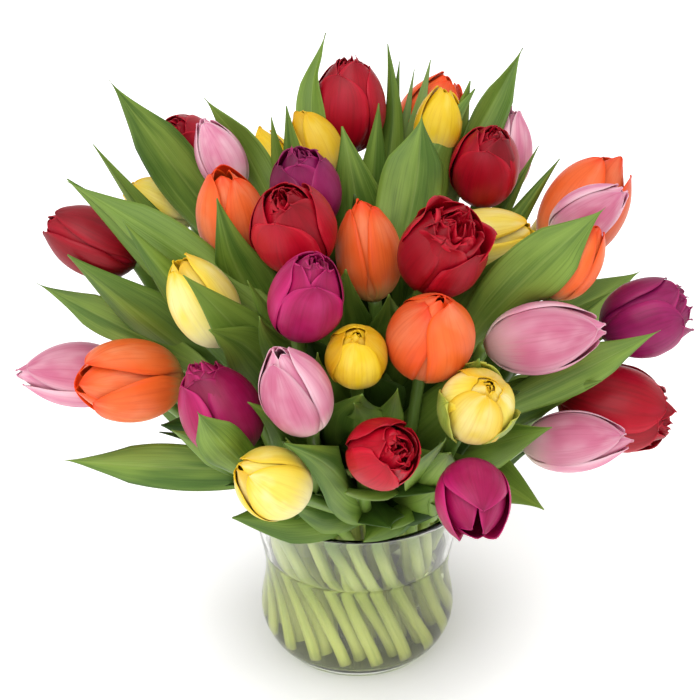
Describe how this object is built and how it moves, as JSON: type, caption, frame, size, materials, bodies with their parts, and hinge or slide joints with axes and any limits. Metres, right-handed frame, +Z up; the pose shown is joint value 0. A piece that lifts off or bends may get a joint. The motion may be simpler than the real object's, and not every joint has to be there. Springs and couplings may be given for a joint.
{
  "type": "bouquet of mixed colour tulips in a glass vase",
  "caption": "Bouquet of cut tulips in mixed colours with their leaves, standing in water in a low flared clear glass vase.",
  "frame": {"origin": "centre of the flat underside of the vase, on the surface it stands on", "axes": "+Z up along the vase's axis; -Y is the front of the bouquet and +X its right side seen from the front"},
  "size_m": [0.3888, 0.3842, 0.3618],
  "materials": {
    "clear_glass": "polished clear glass",
    "vase_water": "clear water, faintly green",
    "red_petals": "satin petals with a soft bloom",
    "orange_petals": "satin petals with a soft bloom",
    "yellow_petals": "satin petals, paler at the foot",
    "pink_petals": "satin petals with pale edges",
    "magenta_petals": "satin petals, deep magenta to purple",
    "green_leaf": "waxy leaf with fine parallel veins"
  },
  "bodies": {
    "root": {"vase": "clear_glass", "water": "vase_water", "red_tulip_1": "red_petals", "red_tulip_2": "red_petals", "red_tulip_3": "red_petals", "red_tulip_4": "red_petals", "red_tulip_5": "red_petals", "red_tulip_6": "red_petals", "red_tulip_7": "red_petals", "red_tulip_8": "red_petals", "red_tulip_9": "red_petals", "orange_tulip_1": "orange_petals", "orange_tulip_2": "orange_petals", "orange_tulip_3": "orange_petals", "orange_tulip_4": "orange_petals", "orange_tulip_5": "orange_petals", "orange_tulip_6": "orange_petals", "orange_tulip_7": "orange_petals", "orange_tulip_8": "orange_petals", "yellow_tulip_1": "yellow_petals", "yellow_tulip_2": "yellow_petals", "yellow_tulip_3": "yellow_petals", "yellow_tulip_4": "yellow_petals", "yellow_tulip_5": "yellow_petals", "yellow_tulip_6": "yellow_petals", "yellow_tulip_7": "yellow_petals", "yellow_tulip_8": "yellow_petals", "yellow_tulip_9": "yellow_petals", "yellow_tulip_10": "yellow_petals", "pink_tulip_1": "pink_petals", "pink_tulip_2": "pink_petals", "pink_tulip_3": "pink_petals", "pink_tulip_4": "pink_petals", "pink_tulip_5": "pink_petals", "pink_tulip_6": "pink_petals", "pink_tulip_7": "pink_petals", "pink_tulip_8": "pink_petals", "magenta_tulip_1": "magenta_petals", "magenta_tulip_2": "magenta_petals", "magenta_tulip_3": "magenta_petals", "magenta_tulip_4": "magenta_petals", "magenta_tulip_5": "magenta_petals", "magenta_tulip_6": "magenta_petals", "leaf_1": "green_leaf", "leaf_2": "green_leaf", "leaf_3": "green_leaf", "leaf_4": "green_leaf", "leaf_5": "green_leaf", "leaf_6": "green_leaf", "leaf_7": "green_leaf", "leaf_8": "green_leaf", "leaf_9": "green_leaf", "leaf_10": "green_leaf", "leaf_11": "green_leaf", "leaf_12": "green_leaf", "leaf_13": "green_leaf", "leaf_14": "green_leaf", "leaf_15": "green_leaf", "leaf_16": "green_leaf", "leaf_17": "green_leaf"}
  },
  "joints": []
}
